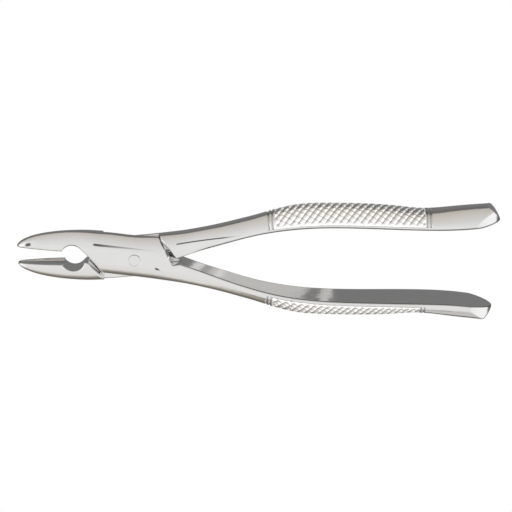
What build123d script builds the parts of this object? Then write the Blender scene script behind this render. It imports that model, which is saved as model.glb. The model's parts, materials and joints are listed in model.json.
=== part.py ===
from build123d import *
import os
from math import cos, pi, sin

# Straight extraction forceps: two polished one-piece forgings in a lap joint, held by
# a rivet ground flush with both faces.  Millimetres.  The pivot axis is Z, the flat back
# face of the joint is Z = 0, the beaks point to -X and the handles run to +X.
# front_half carries the front plate of the joint, its beak is on the +Y side and its
# handle on the -Y side.  rear_half is the same forging turned over about the X axis.

JOINT_THICKNESS = 8.6
MID = JOINT_THICKNESS / 2        # height of the parting plane between the two plates
LAP_GAP = 0.04                   # air between the two plates
RIVET_DIAMETER = 4.2
PIVOT_CLEARANCE = 0.03           # radial play of the turning half on the rivet

# Sections of one forging, square to X, about its own parting plane:
# x, centre y, reach towards +y, reach towards -y, half depth, squareness.
# A squareness of 2 is an ellipse and larger values are fuller towards the corners.
SECTIONS = [
    (-43.0, 3.6, 0.3, 2.0, 0.70, 2.0),
    (-42.4, 3.6, 1.0, 2.0, 1.15, 2.1),
    (-41.4, 3.6, 1.85, 2.0, 1.60, 2.2),
    (-40.0, 3.6, 2.65, 2.2, 1.95, 2.3),
    (-38.0, 3.6, 3.5, 2.6, 2.30, 2.3),
    (-35.0, 3.6, 4.4, 3.2, 2.75, 2.3),
    (-31.0, 3.4, 5.4, 4.2, 3.15, 2.3),
    (-27.0, 3.1, 6.25, 5.6, 3.38, 2.3),
    (-22.5, 2.6, 7.05, 7.0, 3.65, 2.4),
    (-18.0, 2.0, 7.7, 8.0, 4.05, 2.5),
    (-13.0, 1.5, 7.95, 8.05, 4.42, 2.5),
    (-8.0, 1.1, 8.05, 8.15, 4.45, 2.5),
    (-3.0, 0.7, 7.85, 8.25, 4.45, 2.5),
    (2.0, 0.2, 8.0, 8.3, 4.45, 2.5),
    (7.0, -0.6, 8.8, 8.1, 4.45, 2.5),
    (12.0, -1.6, 9.0, 7.75, 4.38, 2.6),
    (18.0, -2.8, 6.6, 7.4, 4.15, 2.9),
    (24.0, -4.7, 5.0, 6.75, 3.95, 2.9),
    (31.0, -7.2, 4.0, 5.95, 4.33, 2.5),
    (38.0, -9.5, 4.0, 5.65, 4.62, 2.3),
    (45.0, -11.7, 4.0, 5.6, 4.90, 2.1),
    (52.0, -13.4, 4.0, 6.35, 5.26, 2.0),
    (60.0, -14.6, 4.0, 7.0, 5.56, 2.0),
    (70.0, -15.3, 4.0, 6.85, 5.80, 2.0),
    (82.0, -15.5, 4.0, 6.6, 6.05, 2.0),
    (95.0, -15.4, 4.0, 5.95, 6.40, 2.0),
    (106.0, -15.4, 4.0, 5.1, 6.52, 2.0),
    (113.0, -15.6, 4.0, 5.6, 6.45, 2.0),
    (121.0, -16.1, 4.0, 6.1, 6.30, 2.0),
    (129.0, -17.2, 4.0, 5.8, 6.20, 2.0),
    (135.0, -18.6, 4.0, 5.2, 6.20, 2.0),
]

# Beak: straight inner edge, gutter in its inner face, and its half of the round opening.
BEAK_INNER_TIP = (-46.0, 3.35)
BEAK_INNER_ROOT = (-22.5, 2.65)
OPENING_CENTRE = (-22.6, 0.95)
OPENING_RADIUS = 4.25
# Gutter sections: x, depth into the beak, half width.
GUTTER = [(-44.0, 0.15, 0.5), (-38.0, 0.6, 1.85), (-30.0, 0.95, 2.75), (-20.0, 1.1, 3.3)]

# Handle: flat inner face, seen from the front.
HANDLE_INNER = [
    (13.2, -0.2), (25.0, -4.5), (35.0, -8.0), (45.0, -11.1), (55.0, -13.25), (66.0, -14.5),
    (80.0, -14.9), (105.0, -14.77), (119.0, -15.2), (128.0, -16.4), (136.0, -18.6),
]
# Ends of the front plate and the shoulders that face the other half's plate, in the plane
# of the joint's flat faces.  Near the crotch the walls on the right lean back by their LEAN
# at the parting plane, so that the other half's shoulder reaches under the plate's end.
PLATE_LEFT = [(-19.6, 3.9), (-17.5, 1.9), (-16.1, 0.4), (-13.5, -3.4), (-12.2, -6.0)]
PLATE_RIGHT_TOP = [(9.45, 6.95), (9.8, 6.3), (11.2, 3.9)]
PLATE_RIGHT_LOW = [(11.42, 3.4), (12.7, 0.4), (13.8, -1.9), (19.4, -1.0)]
PLATE_RIGHT_LEAN = (2.4, 0.6)
SHOULDER_LEFT = [(-17.0, 1.6), (-14.5, 4.5), (-12.8, 6.7), (-11.6, 8.9)]
SHOULDER_RIGHT_LOW = [(9.4, -8.4), (11.15, -6.55), (12.95, -4.45), (14.3, -2.6)]
SHOULDER_RIGHT_END = (16.2, 0.0)
SHOULDER_LOW_LEAN = (0.9, 0.0)
SHOULDER_FOOT_LEAN = (3.9, 0.0)
SWEEP_RADIUS = 12.45             # the other half's plate turns inside this
CUT_LEFT = -24.6                 # the joint's cuts start inside the round opening
CUT_MIDDLE = -5.0                # the two shoulder cuts overlap beside this
CUT_RIGHT = 19.4                 # and end in the gap between the handles

# Handle end: half an ellipse on the flat inner face, and a bulging line seen from the front.
END_LENGTH = 27.5
END_HALF_WIDTH = 8.5
END_PROFILE = [
    (132.35, -16.4), (132.3, -17.5), (131.6, -18.9), (130.4, -20.6), (128.4, -22.2), (126.4, -23.2),
]

# Grip: a shallow pocket for the knurling and two ring grooves at each end of it.
GRIP_START = 50.6
GRIP_END = 104.9
GRIP_MARGIN = 1.3                # smooth border beside the flat inner face
GROOVE_DEPTH = 0.35
# Ring grooves: x, width, lean in degrees.
RINGS = [(48.5, 0.55, -8), (49.9, 0.55, -8), (105.4, 0.5, 0), (106.7, 0.6, 0)]
RING_CENTRE_Y = -16.0

INNER_EDGE_ROUND = 0.4
LONG_EDGE = 100.0                # the edges of a handle's inner face are longer than this
INNER_EDGE_TOP = -1.65           # and reach higher than this
JOINT_HALF_LENGTH = 30.0         # the ground flat faces lie within this of the pivot

FAR = 30.0                       # beyond every surface of the forging
SKIN = LAP_GAP / 2               # each plate stops this far from the parting plane


def section_plane(x):
    """Plane square to X whose own x is +Y and whose own y is +Z."""
    return Plane(origin=(x, 0, 0), x_dir=(0, 1, 0), z_dir=(1, 0, 0))


def half_outline(centre, reach, half_depth, squareness, steps=10):
    """Points of half a superellipse, from -z round the reach side to +z."""
    points = []
    for step in range(steps + 1):
        angle = pi * (step / steps - 0.5)
        across = abs(cos(angle)) ** (2 / squareness)
        up = abs(sin(angle)) ** (2 / squareness)
        points.append((centre + reach * across, half_depth * (up if angle > 0 else -up)))
    points[0] = (centre, -half_depth)
    points[-1] = (centre, half_depth)
    return points


def section(x, centre, up_reach, down_reach, half_depth, squareness):
    """Closed section of the forging: one smooth edge on each side of its centre."""
    with BuildLine() as outline:
        for reach in (up_reach, -down_reach):
            side = 1 if reach > 0 else -1
            points = half_outline(centre, reach, half_depth, squareness)
            Spline(points, tangents=[(side, 0), (-side, 0)])
    return section_plane(x) * make_face(outline.edges())


def forging_blank(shrink=0.0):
    """Loft through SECTIONS; shrink pulls the outer skin in, for grooves and the grip."""
    faces = [
        section(x, centre, up_reach, down_reach - shrink, half_depth - shrink, squareness)
        for x, centre, up_reach, down_reach, half_depth, squareness in SECTIONS
    ]
    with BuildPart() as blank:
        loft(faces, clean=False)
    return blank.part


def flat_cut(curve, corners, low, high):
    """Solid between two heights whose outline is a smooth curve closed by straight runs."""
    with BuildPart() as cutter:
        with BuildSketch(Plane.XY.offset(low)):
            with BuildLine():
                Spline(curve)
                Polyline(curve[-1:] + corners + curve[:1])
            make_face()
        extrude(amount=high - low)
    return cutter.part


def leaning_cut(outline, lean, side):
    """Solid on one side of the parting plane; the outline is its section at the flat face."""
    over = (MID + 1) / MID           # the cut goes 1 mm past the joint's flat face
    direction = Vector(lean[0], lean[1], side * MID)
    floor = [(x - lean[0], y - lean[1]) for x, y in outline]
    with BuildPart() as cutter:
        with BuildSketch(Plane.XY.offset(-side * SKIN)):
            with BuildLine():
                Polyline(floor + floor[:1])
            make_face()
        extrude(amount=direction.length * over, dir=direction)
    return cutter.part


def sweep_cut():
    """Room on the shoulder side for the corner of the other half's plate as it turns."""
    with BuildPart() as cutter:
        with BuildSketch(Plane.XY.offset(-FAR)):
            Circle(SWEEP_RADIUS)
        extrude(amount=FAR + SKIN)
    return cutter.part


def beak_cut():
    """Everything inside the straight inner edge of the beak and the round opening."""
    with BuildPart() as cutter:
        with BuildSketch(Plane.XY.offset(-FAR)):
            with BuildLine():
                Polyline(
                    BEAK_INNER_TIP, BEAK_INNER_ROOT, (BEAK_INNER_ROOT[0], -FAR),
                    (BEAK_INNER_TIP[0], -FAR), BEAK_INNER_TIP,
                )
            make_face()
            with Locations(OPENING_CENTRE):
                Circle(OPENING_RADIUS)
        extrude(amount=2 * FAR)
    return cutter.part


def gutter_cut():
    """The hollow in the inner face of the beak, which widens towards the opening."""
    slope = (BEAK_INNER_ROOT[1] - BEAK_INNER_TIP[1]) / (BEAK_INNER_ROOT[0] - BEAK_INNER_TIP[0])
    with BuildPart() as cutter:
        for x, depth, half_width in GUTTER:
            inner = BEAK_INNER_TIP[1] + slope * (x - BEAK_INNER_TIP[0])
            with BuildSketch(section_plane(x)):
                with Locations((inner, 0)):
                    Ellipse(depth, half_width)
        loft()
    return cutter.part


def handle_end_envelope():
    """What the rounded outline of the handle's end, seen square to its inner face, leaves."""
    straight = END_PROFILE[1][0] - END_LENGTH
    with BuildPart() as envelope:
        with BuildSketch(Plane.XZ):
            with Locations((straight, 0)):
                Ellipse(END_LENGTH, END_HALF_WIDTH)
            Rectangle(2 * straight, 2 * END_HALF_WIDTH)
        extrude(amount=2 * FAR, both=True)
    return envelope.part


def handle_end_cut():
    """Everything past the bulging line of the handle's end, seen from the front."""
    past = END_PROFILE[0][0] + FAR
    return flat_cut(
        END_PROFILE, [(END_PROFILE[-1][0], -FAR), (past, -FAR), (past, FAR), (END_PROFILE[0][0], FAR)],
        -FAR, FAR,
    )


def grip_grooves():
    """The knurling pocket and the ring grooves, GROOVE_DEPTH below the handle's skin."""
    border = [(x, y - GRIP_MARGIN) for x, y in HANDLE_INNER]
    inner_side = flat_cut(border, [(border[-1][0], FAR), (border[0][0], FAR)], -FAR, FAR)
    core = forging_blank(GROOVE_DEPTH)
    with BuildPart() as grooves:
        with BuildSketch(Plane.XY.offset(-FAR)):
            with Locations(((GRIP_START + GRIP_END) / 2, 0)):
                Rectangle(GRIP_END - GRIP_START, 2 * FAR)
            for x, width, lean in RINGS:
                with Locations(Location((x, RING_CENTRE_Y), lean)):
                    Rectangle(width, FAR)
        extrude(amount=2 * FAR)
        add(core, mode=Mode.SUBTRACT, clean=False)
        add(inner_side, mode=Mode.SUBTRACT, clean=False)
    return grooves.part


def forging(bore_radius):
    """One half, about its own parting plane: beak on +y, front plate, handle on -y."""
    first_x = HANDLE_INNER[0][0]
    last_x = HANDLE_INNER[-1][0]
    left_side = [(CUT_LEFT, -FAR), OPENING_CENTRE]
    plate_right = PLATE_RIGHT_TOP + PLATE_RIGHT_LOW
    below_middle = [(CUT_MIDDLE, -FAR), (SHOULDER_RIGHT_LOW[0][0], -FAR)]
    cuts = [
        beak_cut(),
        gutter_cut(),
        flat_cut(HANDLE_INNER, [(last_x, FAR), (first_x, FAR)], -FAR, FAR),
        flat_cut(PLATE_LEFT, [(PLATE_LEFT[-1][0], -FAR)] + left_side, -SKIN, FAR),
        leaning_cut(plate_right + [(CUT_RIGHT, FAR), (PLATE_RIGHT_TOP[0][0], FAR)], (0, 0), 1),
        leaning_cut(
            PLATE_RIGHT_LOW + [(CUT_RIGHT, PLATE_RIGHT_LOW[0][1])], PLATE_RIGHT_LEAN, 1
        ),
        flat_cut(
            SHOULDER_LEFT, [(SHOULDER_LEFT[-1][0], FAR), (0, FAR), (0, -FAR)] + left_side, -FAR, SKIN
        ),
        leaning_cut(
            SHOULDER_RIGHT_LOW + [(CUT_MIDDLE, SHOULDER_RIGHT_LOW[-1][1])] + below_middle,
            SHOULDER_LOW_LEAN, -1,
        ),
        leaning_cut(
            SHOULDER_RIGHT_LOW + [
                SHOULDER_RIGHT_END, (CUT_RIGHT, 0), (CUT_RIGHT, FAR), (CUT_MIDDLE, FAR)
            ] + below_middle,
            SHOULDER_FOOT_LEAN, -1,
        ),
        sweep_cut(),
        handle_end_cut(),
    ]
    blank = forging_blank()
    end_envelope = handle_end_envelope()
    grooves = grip_grooves()
    with BuildPart() as half:
        add(blank)
        for cut in cuts:
            add(cut, mode=Mode.SUBTRACT, clean=False)
        add(end_envelope, mode=Mode.INTERSECT, clean=False)
        for side in (1, -1):
            with BuildSketch(Plane.XY.offset(side * MID)):
                Rectangle(2 * JOINT_HALF_LENGTH, 2 * FAR)
            extrude(amount=side * FAR, mode=Mode.SUBTRACT, clean=False)
        inner_edges = half.edges().filter_by(
            lambda edge: edge.length > LONG_EDGE and edge.bounding_box().max.Y > INNER_EDGE_TOP
        )
        fillet(inner_edges, INNER_EDGE_ROUND)
        add(grooves, mode=Mode.SUBTRACT, clean=False)
        with BuildSketch(Plane.XY.offset(-FAR)):
            Circle(bore_radius)
        extrude(amount=2 * FAR, mode=Mode.SUBTRACT, clean=False)
    return half.part


os.makedirs("parts", exist_ok=True)

# The front half turns on the rivet.
turning_forging = Pos(0, 0, MID) * forging(RIVET_DIAMETER / 2 + PIVOT_CLEARANCE)
with BuildPart() as front_half:
    add(turning_forging)
front_half.part.label = "front_half"
export_step(front_half.part, "parts/front_half.step")

# The rear half is turned over and holds the rivet tight.
fixed_forging = Pos(0, 0, MID) * Rot(X=180) * forging(RIVET_DIAMETER / 2)
with BuildPart() as rear_half:
    add(fixed_forging)
rear_half.part.label = "rear_half"
export_step(rear_half.part, "parts/rear_half.step")

# Rivet, peened and ground flush with both faces of the joint.
with BuildPart() as pivot_rivet:
    with BuildSketch(Plane.XY):
        Circle(RIVET_DIAMETER / 2)
    extrude(amount=JOINT_THICKNESS)
pivot_rivet.part.label = "pivot_rivet"
export_step(pivot_rivet.part, "parts/pivot_rivet.step")
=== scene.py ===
import json
import math

import bpy
import numpy as np
from mathutils import Matrix, Vector
from mathutils.bvhtree import BVHTree


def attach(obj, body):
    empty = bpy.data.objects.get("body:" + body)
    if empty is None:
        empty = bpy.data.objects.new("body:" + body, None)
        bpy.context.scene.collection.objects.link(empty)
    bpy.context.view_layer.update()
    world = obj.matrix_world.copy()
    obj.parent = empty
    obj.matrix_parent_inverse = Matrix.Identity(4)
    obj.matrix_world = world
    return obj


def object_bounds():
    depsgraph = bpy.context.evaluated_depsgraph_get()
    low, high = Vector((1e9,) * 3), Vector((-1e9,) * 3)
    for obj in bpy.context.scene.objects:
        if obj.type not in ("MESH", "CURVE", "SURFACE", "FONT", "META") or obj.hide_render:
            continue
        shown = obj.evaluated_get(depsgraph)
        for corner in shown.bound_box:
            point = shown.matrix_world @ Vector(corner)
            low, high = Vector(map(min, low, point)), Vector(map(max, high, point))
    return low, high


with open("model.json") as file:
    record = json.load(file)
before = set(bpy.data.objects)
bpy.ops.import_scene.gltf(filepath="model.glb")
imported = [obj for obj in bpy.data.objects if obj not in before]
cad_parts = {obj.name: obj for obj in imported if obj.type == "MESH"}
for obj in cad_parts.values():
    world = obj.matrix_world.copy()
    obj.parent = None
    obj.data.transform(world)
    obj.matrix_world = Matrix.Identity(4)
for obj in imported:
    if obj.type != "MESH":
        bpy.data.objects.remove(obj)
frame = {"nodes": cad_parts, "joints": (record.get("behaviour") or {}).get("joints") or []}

cad_low, cad_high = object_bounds()

MM = 0.001
PIVOT = Vector(frame["joints"][0]["pos_m"])

# ---------------------------------------------------------------- camera
TILT = math.radians(25.0)          # the camera stands this far from the pivot axis, towards +Y
ROLL = math.radians(1.1)           # the object's long axis dips to the right by this much
VIEW_WIDTH = 0.1878                # what the image shows at the pivot's depth
CAMERA_DISTANCE = 0.5062
AIM_RIGHT = 0.04424                # from the pivot to the middle of the image
AIM_UP = -0.00011
SENSOR = 36.0
CLIP_START, CLIP_END = 0.01, 50


def make_camera():
    right = Vector((math.cos(ROLL), math.sin(ROLL), 0))
    up = Vector((-math.sin(ROLL) * math.cos(TILT), math.cos(ROLL) * math.cos(TILT), -math.sin(TILT)))
    back = right.cross(up)
    data = bpy.data.cameras.new("camera")
    data.sensor_width = SENSOR
    data.lens = SENSOR * CAMERA_DISTANCE / VIEW_WIDTH
    data.clip_start, data.clip_end = CLIP_START, CLIP_END
    camera = bpy.data.objects.new("camera", data)
    bpy.context.scene.collection.objects.link(camera)
    place = PIVOT + right * AIM_RIGHT + up * AIM_UP + back * CAMERA_DISTANCE
    rotation = Matrix((right, up, back)).transposed().to_4x4()
    camera.matrix_world = Matrix.Translation(place) @ rotation
    bpy.context.scene.camera = camera


# ---------------------------------------------------------------- node helpers
class Nodes:
    """Adds nodes to a tree and links them; an input is a value or another node's output."""

    def __init__(self, tree):
        self.tree = tree
        tree.nodes.clear()

    def add(self, kind, inputs=None, **settings):
        node = self.tree.nodes.new(kind)
        for key, value in settings.items():
            setattr(node, key, value)
        for key, value in (inputs or {}).items():
            self.put(node.inputs[key], value)
        return node

    def put(self, socket, value):
        if isinstance(value, bpy.types.NodeSocket):
            self.tree.links.new(value, socket)
        else:
            socket.default_value = value

    def math(self, operation, *values):
        node = self.add("ShaderNodeMath", operation=operation)
        for index, value in enumerate(values):
            self.put(node.inputs[index], value)
        return node.outputs[0]

    def product(self, first, *others):
        for other in others:
            first = self.math("MULTIPLY", first, other)
        return first

    def darken(self, value, mask, depth):
        """value, less the share depth of it where the mask is 1."""
        return self.product(value, self.math("MULTIPLY_ADD", mask, -depth, 1.0))

    def dot(self, vector, axis):
        node = self.add("ShaderNodeVectorMath", {0: vector, 1: axis}, operation="DOT_PRODUCT")
        return node.outputs["Value"]

    def components(self, vector):
        return self.add("ShaderNodeSeparateXYZ", {"Vector": vector}).outputs

    def map_range(self, value, low, high, new_low=0.0, new_high=1.0, interpolation="LINEAR"):
        """low to high becomes new_low to new_high, and what lies outside is clamped."""
        return self.add(
            "ShaderNodeMapRange", {0: value, 1: low, 2: high, 3: new_low, 4: new_high},
            interpolation_type=interpolation,
        ).outputs[0]

    def mix(self, factor, first, second, blend_type="MIX"):
        return self.add(
            "ShaderNodeMix", {0: factor, 6: first, 7: second}, data_type="RGBA", blend_type=blend_type,
        ).outputs[2]

    def noise(self, vector, scale, detail, roughness=0.5):
        return self.add("ShaderNodeTexNoise", {
            "Vector": vector, "Scale": scale, "Detail": detail, "Roughness": roughness,
        }).outputs[0]

    def ramp(self, factor, stops):
        """Colour ramp; each stop is its position and a grey or tinted colour."""
        node = self.add("ShaderNodeValToRGB", {"Fac": factor})
        elements = node.color_ramp.elements
        while len(elements) < len(stops):
            elements.new(0.5)
        for element, (position, colour) in zip(elements, stops):
            element.position = position
            element.color = (*colour, 1)
        return node.outputs[0]


BLUE_LOSS = 1.5                    # blue drops this many times as far as red rises


def grey(value, warmth=0.0):
    return (value * (1 + warmth), value, value * (1 - warmth * BLUE_LOSS))


# ---------------------------------------------------------------- studio
# What the steel mirrors, by angle about the object's long axis, in degrees from straight up,
# positive towards +Y: angle, brightness and warmth.
ROOM_ACROSS = (
    (-180, 0.21, 0), (-150, 0.20, 0), (-95, 0.17, 0.12), (-76, 0.34, 0.10), (-58, 0.87, 0.02),
    (-15, 0.95, 0), (25, 0.79, 0.01), (70, 0.68, 0.05), (108, 0.58, 0.06), (119, 0.155, 0.03),
    (150, 0.22, 0), (180, 0.21, 0),
)
# The same for what lies past the beaks and past the handle ends.
ROOM_LEFT = (
    (-180, 0.15, 0), (-115, 0.15, 0), (-85, 0.55, 0.03), (-60, 1.4, 0), (10, 1.4, 0),
    (45, 0.72, 0.03), (100, 0.60, 0.04), (116, 0.14, 0), (180, 0.15, 0),
)
ROOM_RIGHT = (
    (-180, 0.15, 0), (-125, 0.15, 0), (-100, 0.30, 0.03), (-75, 1.12, 0), (-15, 1.10, 0),
    (40, 0.70, 0.02), (100, 0.50, 0.04), (112, 0.14, 0), (180, 0.15, 0),
)
ENDS_FROM, ENDS_FULL = 0.42, 0.80  # how far along X a direction points where the ends take over

FLOOR_GAP = 0.5 * MM               # the floor lies this far below the object
FLOOR_HALF_SIZE = 6.0
WHITE = (1, 1, 1, 1)

# Level strips of light below the object, mirrored in the flat inner face of the lower handle:
# start and end along X, and strength.
LOW_LIGHTS = (
    (0.0486, 0.0525, 0.80), (0.0525, 0.0552, 0.36), (0.0552, 0.0582, 0.60),
    (0.0582, 0.0606, 0.84), (0.0606, 0.0770, 0.61), (0.0798, 0.0822, 0.66),
)
LOW_LIGHT_DROP = 0.1               # below the pivot
LOW_LIGHT_NEAR, LOW_LIGHT_FAR = 0.008, 0.060
# One upright sheet of light beside the lower handle's grip; its height counts from the pivot.
GRIP_LIGHT_Y = -0.12
GRIP_LIGHT_START, GRIP_LIGHT_END = 0.035, 0.22
GRIP_LIGHT_BOTTOM, GRIP_LIGHT_TOP = -0.018, 0.036
GRIP_LIGHT_STRENGTH = 0.65
CARD_COLOUR = (1, 0.98, 0.95, 1)


def make_world():
    world = bpy.data.worlds.new("studio")
    bpy.context.scene.world = world
    world.use_nodes = True
    n = Nodes(world.node_tree)
    axes = n.components(n.add("ShaderNodeTexCoord").outputs["Generated"])
    # One turn about X, from straight down (0) through -Y, straight up (0.5) and +Y back down (1).
    turn = n.math("MULTIPLY_ADD", n.math("ARCTAN2", axes[1], axes[2]), 1 / (2 * math.pi), 0.5)
    across, left, right = (
        n.ramp(turn, [(angle / 360 + 0.5, grey(value, warmth)) for angle, value, warmth in room])
        for room in (ROOM_ACROSS, ROOM_LEFT, ROOM_RIGHT)
    )
    ends = n.mix(n.math("GREATER_THAN", axes[0], 0.0), left, right)
    end_on = n.map_range(n.math("ABSOLUTE", axes[0]), ENDS_FROM, ENDS_FULL, interpolation="SMOOTHSTEP")
    reflected = n.mix(end_on, across, ends)
    seen = n.add("ShaderNodeLightPath").outputs["Is Camera Ray"]
    background = n.add("ShaderNodeBackground", {"Color": n.mix(seen, reflected, WHITE), "Strength": 1.0})
    n.add("ShaderNodeOutputWorld", {"Surface": background.outputs[0]})


def make_panel(name, material_name, corners, colour, strength):
    """Four-cornered sheet that glows evenly."""
    mesh = bpy.data.meshes.new(name)
    mesh.from_pydata(corners, [], [(0, 1, 2, 3)])
    panel = bpy.data.objects.new(name, mesh)
    bpy.context.scene.collection.objects.link(panel)
    material = bpy.data.materials.new(material_name)
    material.use_nodes = True
    n = Nodes(material.node_tree)
    glow = n.add("ShaderNodeEmission", {"Color": colour, "Strength": strength})
    n.add("ShaderNodeOutputMaterial", {"Surface": glow.outputs[0]})
    mesh.materials.append(material)
    return panel


def make_floor():
    low = cad_low.z - FLOOR_GAP
    size = FLOOR_HALF_SIZE
    corners = [(-size, -size, low), (size, -size, low), (size, size, low), (-size, size, low)]
    floor = make_panel("floor", "pale_floor", corners, WHITE, 1.0)
    floor.visible_glossy = False


def make_card(name, corners, strength):
    """Sheet of light that only reflections see."""
    card = make_panel(name, name, corners, CARD_COLOUR, strength)
    card.visible_camera = card.visible_diffuse = card.visible_shadow = False


def make_cards():
    low = PIVOT.z - LOW_LIGHT_DROP
    near, far = LOW_LIGHT_NEAR, LOW_LIGHT_FAR
    for number, (start, end, strength) in enumerate(LOW_LIGHTS):
        corners = [(start, near, low), (end, near, low), (end, far, low), (start, far, low)]
        make_card(f"low_light_{number}", corners, strength)
    start, end, y = GRIP_LIGHT_START, GRIP_LIGHT_END, GRIP_LIGHT_Y
    bottom, top = PIVOT.z + GRIP_LIGHT_BOTTOM, PIVOT.z + GRIP_LIGHT_TOP
    corners = [(start, y, bottom), (end, y, bottom), (end, y, top), (start, y, top)]
    make_card("grip_light", corners, GRIP_LIGHT_STRENGTH)


def set_view():
    view = bpy.context.scene.view_settings
    view.view_transform = "Standard"
    view.look = "None"
    view.exposure = 0
    view.gamma = 1


# ---------------------------------------------------------------- materials
STEEL = (0.80, 0.80, 0.795)
# Lighter than STEEL: painted light that brightens the knurling.
KNURL_PAINTED_LIGHTER = (0.97, 0.97, 0.965)
POLISHED, KNURL_POLISH = 0.08, 0.16            # roughness
ROUGHNESS_SPREAD = (0.80, 1.25)                # from the clearest to the cloudiest patches
TINT_SPREAD = (0.97, 1.02)
SCRATCH_STRETCH = (0.08, 1, 1)                 # the scratches run along X
SCRATCHES = {"scale": 9000, "detail": 3, "roughness": 0.6}
SCRATCH_STRENGTH, SCRATCH_HEIGHT = 0.02, 0.1 * MM
WAVES = {"scale": 330, "detail": 1}
WAVE_STRENGTH, WAVE_HEIGHT = 0.05, 0.3 * MM
CLOUDS = {"scale": 160, "detail": 3}
CREVICE_REACH = 0.9 * MM
CREVICE_OPEN = (0.25, 0.8)                     # how open it is round a point in full shade and in none
CREVICE_SHADE = 0.45
EDGE_SOFTENING = 0.9 * MM
SAMPLES = 8                                    # of the softened edges and of the crevices
# Two dark lines of painted shade, each between limits where it starts to show and where it shows in full.
# The first follows the lower edge of the upper handle and beak.
UPPER_LINE_DEPTH = 0.78
UPPER_LINE_NORMAL_Y = (-0.015, -0.11)
UPPER_LINE_Y = (3.5 * MM, 5.5 * MM)
# The second follows the edge between the flat inner face and the front of the lower handle.
LOWER_LINE_DEPTH = 0.55
LOWER_LINE_NORMAL_Y = (0.3, 0.5)
LOWER_LINE_INNER_NORMAL_Z, LOWER_LINE_FRONT_NORMAL_Z = (0.05, 0.20), (0.85, 0.65)
LOWER_LINE_X, LOWER_LINE_Y = (10 * MM, 14 * MM), (-1 * MM, -4 * MM)
# Painted shade along forging creases on the front faces: start, end, width, and the share that thins out.
CREASES = (
    ((-0.0154, 0.0060), (0.0100, 0.0037), 0.00085, 0.9),
    ((0.0070, -0.0028), (0.0098, -0.0040), 0.00080, 0.5),
    ((0.0150, 0.0066), (0.0395, 0.0110), 0.00045, 0.3),
    ((-0.0404, 0.0041), (-0.0375, 0.0050), 0.00110, 0.2),
)
CREASE_DEPTH = 0.85
FRONT_FACES = 1.0 * MM                         # the creases lie higher than this above the pivot
# Shade and glint of the knurling, from the bottom of a groove (0) to the top of a tooth (1).
TOOTH_SHADE = (
    (0.0, grey(0.42, 0.04)), (0.18, grey(0.66, 0.02)), (0.34, grey(0.96)), (0.66, grey(0.98)),
    (0.78, grey(1.0)), (0.97, grey(1.0)), (1.0, grey(0.86)),
)
TOOTH_GLINT = (
    (0.0, grey(0.0)), (0.3, grey(0.06)), (0.66, grey(0.06)), (0.78, grey(0.45)),
    (0.96, grey(0.45)), (1.0, grey(0.0)),
)


def stroke(n, place, start, end, width, fade):
    """Mask for the painted shade of a fine straight crease on the front faces; fade is the share that thins
    out.
    """
    length = math.dist(start, end)
    along_x, along_y = (end[0] - start[0]) / length, (end[1] - start[1]) / length
    offset = n.add("ShaderNodeVectorMath", {0: place, 1: (*start, 0)}, operation="SUBTRACT").outputs[0]
    across = n.dot(offset, (-along_y, along_x, 0))
    lengthwise = n.dot(offset, (along_x, along_y, 0))
    first = n.map_range(lengthwise, 0.0, width)
    last = n.map_range(lengthwise, length, length * (1 - fade))
    taper = n.math("MINIMUM", first, last)
    inside = n.math("SUBTRACT", n.product(taper, width / 2), n.math("ABSOLUTE", across))
    line = n.map_range(inside, -width / 6, width / 6)
    front = n.math("GREATER_THAN", n.components(place)[2], PIVOT.z + FRONT_FACES)
    return n.product(line, taper, front)


def painted_edge_shade(n, normal, place):
    """Masks and depths of the two lines of painted shade, from the softened normal and the place."""
    _, normal_y, normal_z = n.components(normal)
    x, y, _ = n.components(place)
    upper = n.product(n.map_range(normal_y, *UPPER_LINE_NORMAL_Y), n.map_range(y, *UPPER_LINE_Y))
    turning = n.product(
        n.map_range(normal_z, *LOWER_LINE_INNER_NORMAL_Z), n.map_range(normal_z, *LOWER_LINE_FRONT_NORMAL_Z),
    )
    inward = n.product(n.map_range(normal_y, *LOWER_LINE_NORMAL_Y), n.map_range(y, *LOWER_LINE_Y))
    lower = n.product(turning, inward, n.map_range(x, *LOWER_LINE_X))
    return (upper, UPPER_LINE_DEPTH), (lower, LOWER_LINE_DEPTH)


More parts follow.
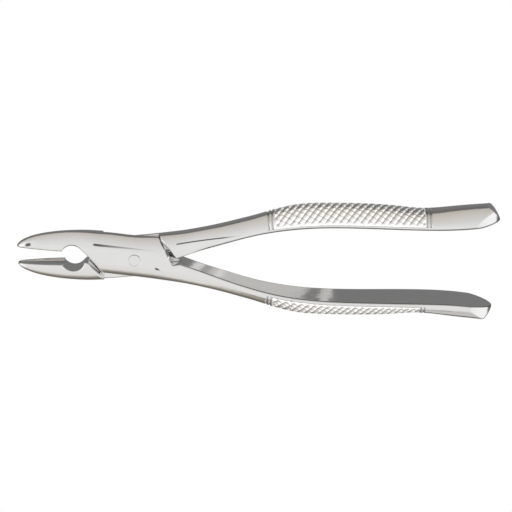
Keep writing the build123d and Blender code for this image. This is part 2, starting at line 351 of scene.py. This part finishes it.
def steel(name, colour, roughness, edge=0.0, creases=(), toothed=False):
    """Polished steel: hairline scratches, faint clouding and painted shade in crevices; edge, creases and
    toothed add painted shade, and toothed adds a painted glint.
    """
    material = bpy.data.materials.new(name)
    material.use_nodes = True
    n = Nodes(material.node_tree)
    place = n.add("ShaderNodeTexCoord").outputs["Object"]
    streak = n.add("ShaderNodeMapping", {"Vector": place, "Scale": SCRATCH_STRETCH}).outputs[0]
    fine = n.add("ShaderNodeBump", {
        "Height": n.noise(streak, **SCRATCHES), "Strength": SCRATCH_STRENGTH, "Distance": SCRATCH_HEIGHT,
    })
    bump = n.add("ShaderNodeBump", {
        "Height": n.noise(place, **WAVES), "Strength": WAVE_STRENGTH, "Distance": WAVE_HEIGHT,
        "Normal": fine.outputs[0],
    })
    clouds = n.noise(place, **CLOUDS)
    rough = n.map_range(clouds, 0.0, 1.0, *(roughness * share for share in ROUGHNESS_SPREAD))
    # Painted shade: crevices that ambient occlusion finds closed in darken the colour.
    crevices = n.add("ShaderNodeAmbientOcclusion", {"Distance": CREVICE_REACH}, samples=SAMPLES)
    painted_shade = n.map_range(crevices.outputs["AO"], *CREVICE_OPEN, CREVICE_SHADE, 1.0)
    if edge:
        softened = n.add("ShaderNodeBevel", {"Radius": edge}, samples=SAMPLES).outputs[0]
        n.put(fine.inputs["Normal"], softened)
        # Painted shade along two edges.
        for line, depth in painted_edge_shade(n, softened, place):
            painted_shade = n.darken(painted_shade, line, depth)
    # Painted shade along the creases.
    for crease in creases:
        painted_shade = n.darken(painted_shade, stroke(n, place, *crease), CREASE_DEPTH)
    # Painted shade: the knurling's colour darkens towards the bottom of each groove.
    if toothed:
        tooth = n.add("ShaderNodeAttribute", attribute_name="tooth").outputs["Fac"]
        painted_shade = n.mix(1.0, n.ramp(tooth, TOOTH_SHADE), painted_shade, "MULTIPLY")
    clear, clouded = ((*(part * share for part in colour), 1) for share in TINT_SPREAD)
    tint_and_painted_shade = n.mix(1.0, n.mix(clouds, clear, clouded), painted_shade, "MULTIPLY")
    shader = n.add("ShaderNodeBsdfPrincipled", {
        "Base Color": tint_and_painted_shade, "Metallic": 1.0, "Roughness": rough, "Normal": bump.outputs[0],
    })
    # Painted glint: the knurling's teeth glow near their crests.
    if toothed:
        n.put(shader.inputs["Emission Color"], n.ramp(tooth, TOOTH_GLINT))
        n.put(shader.inputs["Emission Strength"], 1.0)
    n.add("ShaderNodeOutputMaterial", {"Surface": shader.outputs[0]})
    return material


def dress_frame():
    """Gives each CAD node its steel."""
    forged = steel("polished_steel", STEEL, POLISHED, edge=EDGE_SOFTENING, creases=CREASES)
    rivet = steel("rivet_steel", STEEL, POLISHED)
    for node_name, material in (("front_half", forged), ("rear_half", forged), ("pivot_rivet", rivet)):
        for material_slot in frame["nodes"][node_name].material_slots:
            material_slot.material = material


# ---------------------------------------------------------------- knurling
GRIP_START, GRIP_END = 50.62 * MM, 104.88 * MM
GRIP_WRAP = 19.5 * MM              # about how far the knurling reaches round the handle
GRIP_CORE = 17 * MM                # a Y that lies inside the handle's steel all along the grip
GRIP_MARGIN = 1.33 * MM            # from the flat inner face to the start of the knurling
KNURL_DEPTH = 0.35 * MM            # how far the pocket's floor lies below the handle's skin
GROOVE_DEPTH = 0.95                # share of KNURL_DEPTH that the grooves go down
STEP = 0.15 * MM
SEAT = 0.06 * MM                   # the knurling reaches this far below the pocket's floor
SIDE_FADE, END_FADE = 1.1 * MM, 0.25 * MM
STEEP_ANGLE, STEEP_PITCH = math.radians(52), 1.98 * MM
CLIMB = 0.74                       # share of a steep ridge's width that climbs
NOTCH_HALF_WIDTH = 0.21            # share of the pitch
NOTCH_DEPTH = 0.72                 # share of the ridge's height
SHALLOW_ANGLE, SHALLOW_PITCH = math.radians(-29), 1.80 * MM


def sawtooth(phase):
    """Ridge that climbs over most of its width and falls off steeply at the end."""
    part = phase % 1.0
    return np.minimum(part / CLIMB, (1 - part) / (1 - CLIMB))


def notch(phase):
    """0 in a narrow groove and 1 on the land between two grooves."""
    return np.clip((0.5 - np.abs(phase % 1.0 - 0.5)) / NOTCH_HALF_WIDTH, 0, 1)


def pocket_floor(node_name, side, xs):
    """Grid of points on the floor of one handle's pocket, and each column's direction out of it."""
    mesh = frame["nodes"][node_name].data
    tree = BVHTree.FromPolygons([v.co for v in mesh.vertices], [p.vertices for p in mesh.polygons])
    # From the front edge of the rear half's grip over the outside to its back edge, and the
    # other way round on the front half, which is the same forging turned over.
    outward = np.array([
        (0, side * math.sin(turn), side * math.cos(turn))
        for turn in np.linspace(0, math.pi, int(GRIP_WRAP / STEP))
    ])
    floor = np.zeros((len(xs), len(outward), 3))
    for i, x in enumerate(xs):
        face = tree.ray_cast(Vector((x, side * GRIP_CORE, PIVOT.z)), Vector((0, -side, 0)))[0]
        centre = Vector((x, face.y + side * GRIP_MARGIN, PIVOT.z))
        for j, direction in enumerate(outward):
            floor[i, j] = tree.ray_cast(centre, Vector(direction))[0]
    return floor, outward


def knurl_grooves(floor, xs):
    """How deep the grooves are at each point of the floor, from 0 on a tooth's crest to 1."""
    across = np.linalg.norm(np.diff(floor, axis=1), axis=2)
    round_grip = np.concatenate([np.zeros((len(xs), 1)), np.cumsum(across, axis=1)], axis=1)
    along_grip = xs[:, None] - GRIP_START
    steep = (along_grip * math.sin(STEEP_ANGLE) - round_grip * math.cos(STEEP_ANGLE)) / STEEP_PITCH
    shallow = (along_grip * math.sin(-SHALLOW_ANGLE) + round_grip * math.cos(SHALLOW_ANGLE)) / SHALLOW_PITCH
    crown = sawtooth(steep) * (1 - NOTCH_DEPTH * (1 - notch(shallow)))
    from_side = np.minimum(round_grip, round_grip[:, -1:] - round_grip)
    from_end = np.minimum(along_grip, along_grip[::-1])
    fade = np.clip(from_side / SIDE_FADE, 0, 1) * np.clip(from_end / END_FADE, 0, 1)
    return (1 - crown) * fade


def slab_faces(rows, columns):
    """Quads of a closed slab; its top grid of points comes first and its bottom grid second."""
    upper = np.arange(rows * columns).reshape(rows, columns)
    lower = upper + rows * columns

    def quads(grid, flip):
        a, b, c, d = grid[:-1, :-1], grid[1:, :-1], grid[1:, 1:], grid[:-1, 1:]
        ring = (a, d, c, b) if flip else (a, b, c, d)
        return np.stack([corner.ravel() for corner in ring], axis=1)

    def wall(top, bottom, flip):
        ring = (top[:-1], top[1:], bottom[1:], bottom[:-1])
        return np.stack(ring[::-1] if flip else ring, axis=1)

    return np.concatenate([
        quads(upper, True), quads(lower, False),
        wall(upper[:, 0], lower[:, 0], True), wall(upper[:, -1], lower[:, -1], False),
        wall(upper[0], lower[0], False), wall(upper[-1], lower[-1], True),
    ])


def knurl(node_name, body, side, material):
    """Raised diamonds that fill the pocket in one handle; side is the handle's y direction."""
    xs = np.linspace(GRIP_START, GRIP_END, int((GRIP_END - GRIP_START) / STEP))
    floor, outward = pocket_floor(node_name, side, xs)
    groove = knurl_grooves(floor, xs)
    top = floor + outward[None] * (KNURL_DEPTH * (1 - GROOVE_DEPTH * groove))[..., None]
    bottom = floor - outward[None] * SEAT
    points = np.concatenate([top.reshape(-1, 3), bottom.reshape(-1, 3)])
    mesh = bpy.data.meshes.new("knurling_" + body)
    mesh.from_pydata(points.tolist(), [], slab_faces(*groove.shape).tolist())
    mesh.update()
    mesh.polygons.foreach_set("use_smooth", np.ones(len(mesh.polygons), bool))
    tooth = np.tile(1 - groove.ravel(), 2).astype(np.float32)
    mesh.attributes.new("tooth", "FLOAT", "POINT").data.foreach_set("value", tooth)
    mesh.materials.append(material)
    skin = bpy.data.objects.new("knurling_" + body, mesh)
    bpy.context.scene.collection.objects.link(skin)
    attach(skin, body)


make_camera()
make_world()
make_floor()
make_cards()
set_view()
dress_frame()
knurled = steel("knurled_steel", KNURL_PAINTED_LIGHTER, KNURL_POLISH, toothed=True)
knurl("front_half", "front", -1, knurled)
knurl("rear_half", "rear", 1, knurled)
